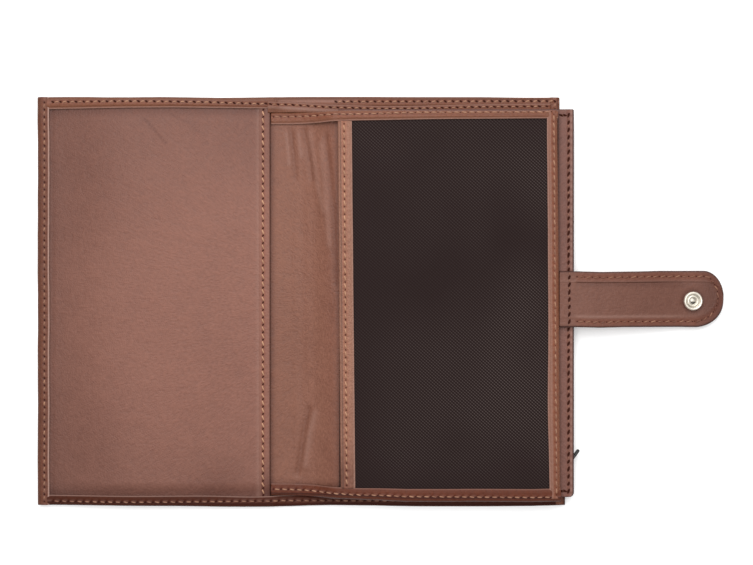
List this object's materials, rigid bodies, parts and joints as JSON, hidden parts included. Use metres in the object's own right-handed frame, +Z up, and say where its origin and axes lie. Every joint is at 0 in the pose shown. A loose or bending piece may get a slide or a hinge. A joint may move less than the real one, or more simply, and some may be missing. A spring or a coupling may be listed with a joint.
{
  "type": "leather document case",
  "caption": "Flat leather document case shown open, with a slip pocket, a mesh pocket page, a zipped pouch and a snap strap.",
  "frame": {"origin": "on the table under the middle of the open case's outline", "axes": "+X from the front half over the spine to the strap's tip, +Y up the page, +Z up from the table"},
  "size_m": [0.3678, 0.2196, 0.0133],
  "materials": {
    "cover_leather": "satin, waxed brown leather",
    "pocket_leather": "satin, waxed brown leather, slightly paler",
    "page_leather": "satin, waxed brown leather",
    "binding_leather": "satin, paler brown leather",
    "strap_leather": "satin, waxed darker brown leather",
    "mesh_fabric": "fine dark woven mesh",
    "zip_tape": "dark woven zip tape",
    "zip_plastic": "moulded nylon coil",
    "zip_metal": "black painted die cast",
    "pull_black": "black cord-like pull, moulded",
    "snap_nickel": "polished warm nickel, lightly worn"
  },
  "bodies": {
    "case": {"outer_cover": "cover_leather", "front_pocket": "pocket_leather", "inner_page": "page_leather", "mesh_panel": "mesh_fabric", "mesh_binding": "binding_leather", "divider": "page_leather", "pouch_gusset": "page_leather", "pouch_panel": "pocket_leather", "zip_tape_upper": "zip_tape", "zip_tape_lower": "zip_tape", "zip_coil": "zip_plastic", "zip_slider": "zip_metal", "strap_outer": "strap_leather", "strap_facing": "strap_leather", "snap_socket": "snap_nickel", "snap_cap": "snap_nickel", "closure_stud": "snap_nickel"},
    "pull": {"zip_pull": "pull_black"}
  },
  "joints": [
    {"name": "zip_pull_hinge", "type": "hinge", "parent": "case", "child": "pull", "pos_m": [0.0993, -0.08855, 0.00545], "axis": [0, 0, 1], "range_deg": [-129, 21]}
  ]
}
